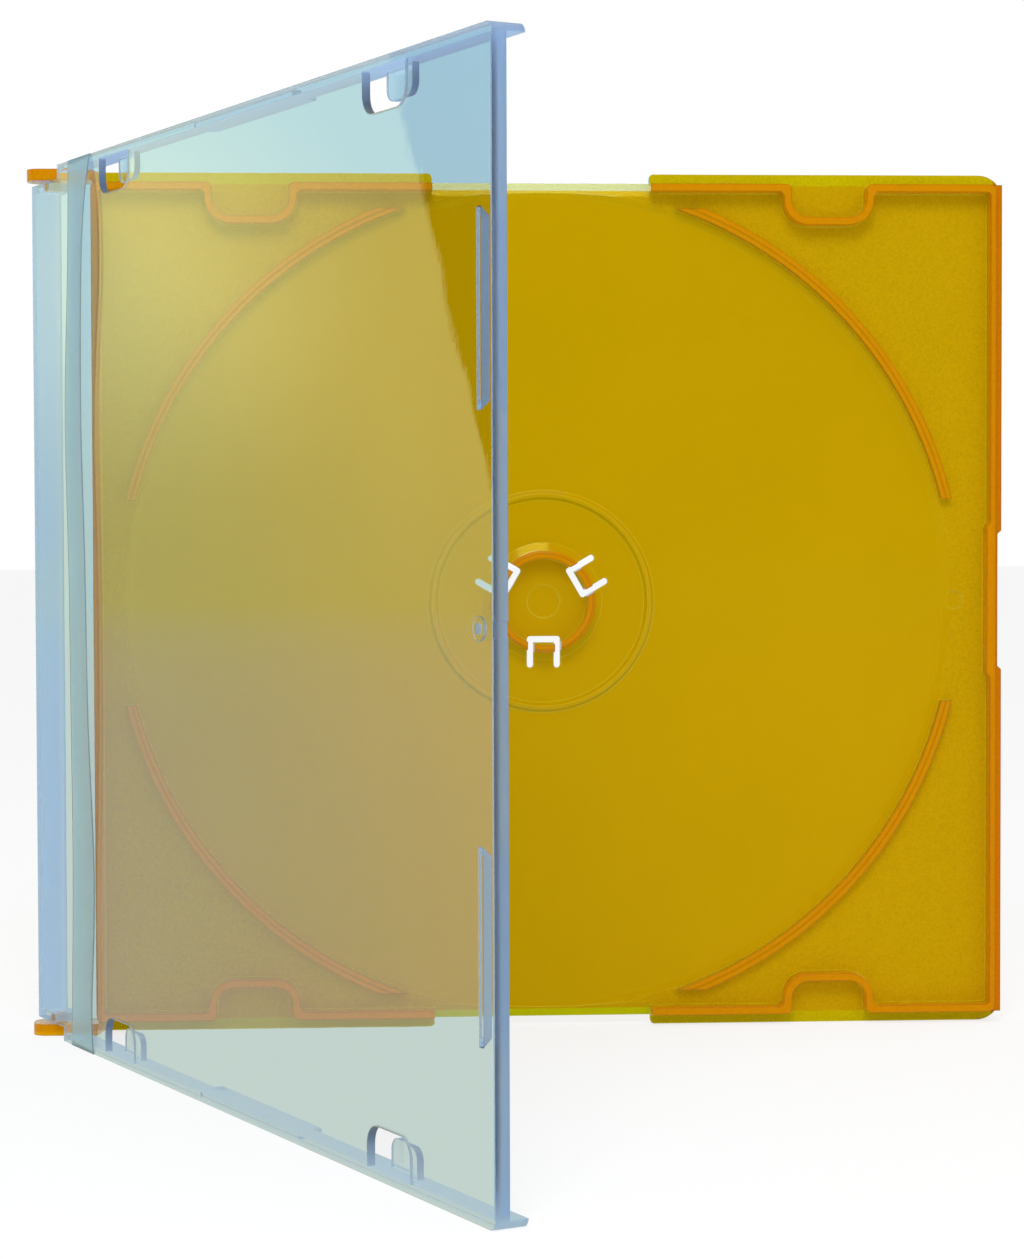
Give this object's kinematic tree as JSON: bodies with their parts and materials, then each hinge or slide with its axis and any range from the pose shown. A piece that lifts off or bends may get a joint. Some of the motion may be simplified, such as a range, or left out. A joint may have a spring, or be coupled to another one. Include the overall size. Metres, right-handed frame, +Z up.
{
  "type": "disc case",
  "caption": "Slim hinged disc case: tinted tray with a sprung hub ring, clear lid with booklet tabs and a film strip, standing open.",
  "frame": {"origin": "middle of the disc seat, where the hub's axis crosses it", "axes": "+X along the tray from the spine to its free edge, +Z up along the spine, -Y out of the tray where the disc leaves"},
  "size_m": [0.142, 0.1304, 0.1246],
  "materials": {
    "tinted_plastic": "gloss, see-through orange",
    "clear_plastic": "gloss, clear",
    "clear_film": "gloss film"
  },
  "bodies": {
    "tray_body": {"base_tray": "tinted_plastic"},
    "lid_body": {"lid": "clear_plastic", "film_strip": "clear_film"}
  },
  "joints": [
    {"name": "lid_hinge", "type": "hinge", "parent": "tray_body", "child": "lid_body", "pos_m": [-0.0698, -0.00135, 0], "axis": [0, 0, -1], "range_deg": [-64.7, 115.3]}
  ]
}
